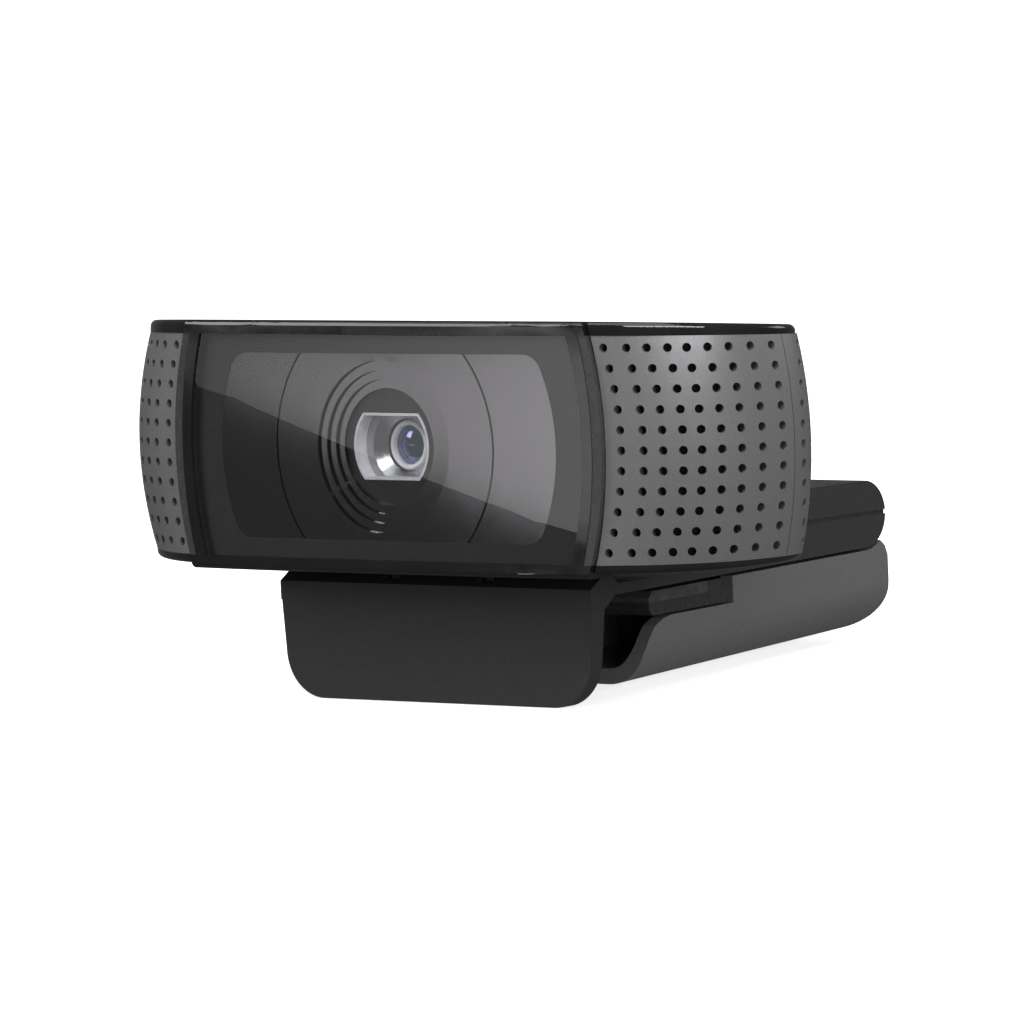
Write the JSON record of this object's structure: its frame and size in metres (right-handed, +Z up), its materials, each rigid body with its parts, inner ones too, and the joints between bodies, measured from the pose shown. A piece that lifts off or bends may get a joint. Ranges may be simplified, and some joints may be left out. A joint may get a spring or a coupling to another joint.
{
  "type": "desktop webcam",
  "caption": "Wide desktop webcam with a glossy front window and perforated sides, tilting on a folding screen clip with a tripod thread.",
  "frame": {"origin": "middle of the base: centred left to right and front to back, on the plane the clip stands on", "axes": "+X to the camera's left as it faces out, which is the viewer's right; +Y to the back; +Z up"},
  "size_m": [0.094, 0.0638, 0.0451],
  "materials": {
    "front_bezel": "piano black, polished",
    "front_window": "clear, smoked, polished",
    "mask_frame": "black print behind the window",
    "face_panel": "dark grey print with fine texture",
    "aperture_plate": "black, satin",
    "aperture_trim": "light grey satin lacquer",
    "lens_cone": "turned, satin",
    "left_light_bar": "smoked light guide",
    "right_light_bar": "smoked light guide",
    "left_grille": "graphite, satin, perforated",
    "right_grille": "graphite, satin, perforated",
    "rear_shell": "graphite, satin, perforated ends",
    "top_cap": "piano black, polished",
    "bottom_cap": "piano black, polished",
    "left_grille_cloth": "black acoustic cloth",
    "right_grille_cloth": "black acoustic cloth",
    "chassis": "moulded, matte",
    "main_board": "green solder mask",
    "board_screws": "zinc plated",
    "thermal_pad": "soft silicone",
    "heat_spreader": "pressed sheet",
    "cable_header": "ivory moulding",
    "cable_gland": "matte black",
    "left_microphone_boot": "matte black",
    "right_microphone_boot": "matte black",
    "left_microphone": "bare can",
    "right_microphone": "bare can",
    "indicator_leds": "clear resin",
    "focus_housing": "matte black",
    "focus_magnets": "nickel plated",
    "leaf_springs": "thin spring strip",
    "infrared_filter": "coated, polished",
    "image_sensor": "dark ceramic package",
    "tilt_bracket": "pressed steel",
    "lens_barrel": "light front ring, satin",
    "front_element": "coated lens, polished",
    "rear_element": "lens, polished",
    "focus_coil": "enamelled copper winding",
    "clip_arm": "satin black, fine texture",
    "arm_cover": "black, polished",
    "flap_pad": "matte black",
    "arm_pad": "matte black",
    "tilt_pin": "ground pin",
    "tilt_washers": "ground washers",
    "leg_pin": "ground pin",
    "leg_washers": "ground washers",
    "leg_shell": "satin dark grey, fine texture",
    "tripod_nut": "turned, bare",
    "leg_pad": "matte black, non-slip",
    "foot_block": "satin black",
    "foot_pad": "matte, non-slip",
    "foot_pin": "ground pin"
  },
  "bodies": {
    "clip": {"clip_arm": "clip_arm", "arm_cover": "arm_cover", "flap_pad": "flap_pad", "arm_pad": "arm_pad", "tilt_pin": "tilt_pin", "tilt_washers": "tilt_washers", "leg_pin": "leg_pin", "leg_washers": "leg_washers"},
    "head": {"front_bezel": "front_bezel", "front_window": "front_window", "mask_frame": "mask_frame", "face_panel": "face_panel", "aperture_plate": "aperture_plate", "aperture_trim": "aperture_trim", "lens_cone": "lens_cone", "left_light_bar": "left_light_bar", "right_light_bar": "right_light_bar", "left_grille": "left_grille", "right_grille": "right_grille", "rear_shell": "rear_shell", "top_cap": "top_cap", "bottom_cap": "bottom_cap", "left_grille_cloth": "left_grille_cloth", "right_grille_cloth": "right_grille_cloth", "chassis": "chassis", "main_board": "main_board", "board_screws": "board_screws", "thermal_pad": "thermal_pad", "heat_spreader": "heat_spreader", "cable_header": "cable_header", "cable_gland": "cable_gland", "left_microphone_boot": "left_microphone_boot", "right_microphone_boot": "right_microphone_boot", "left_microphone": "left_microphone", "right_microphone": "right_microphone", "indicator_leds": "indicator_leds", "focus_housing": "focus_housing", "focus_magnets": "focus_magnets", "leaf_springs": "leaf_springs", "infrared_filter": "infrared_filter", "image_sensor": "image_sensor", "tilt_bracket": "tilt_bracket"},
    "lens": {"lens_barrel": "lens_barrel", "front_element": "front_element", "rear_element": "rear_element", "focus_coil": "focus_coil"},
    "leg": {"leg_shell": "leg_shell", "tripod_nut": "tripod_nut", "leg_pad": "leg_pad"},
    "foot": {"foot_block": "foot_block", "foot_pad": "foot_pad", "foot_pin": "foot_pin"}
  },
  "joints": [
    {"name": "head_tilt", "type": "hinge", "parent": "clip", "child": "head", "pos_m": [0, -0.02015, 0.01363], "axis": [1, 0, 0], "range_deg": [-3.6, 31.4]},
    {"name": "lens_focus", "type": "slide", "parent": "head", "child": "lens", "axis": [0, -0.9971, 0.0767], "range_m": [0, 0.00035], "stiffness_N_per_m": 60},
    {"name": "leg_fold", "type": "hinge", "parent": "clip", "child": "leg", "pos_m": [0, 0.02799, 0.01506], "axis": [1, 0, 0], "range_deg": [0, 150]},
    {"name": "foot_tilt", "type": "hinge", "parent": "leg", "child": "foot", "pos_m": [0, 0.00064, 0.01013], "axis": [1, 0, 0], "range_deg": [-60, 0]}
  ],
  "couplings": [
    {"joint": "foot_tilt", "follows": "leg_fold", "ratio": -0.4}
  ]
}
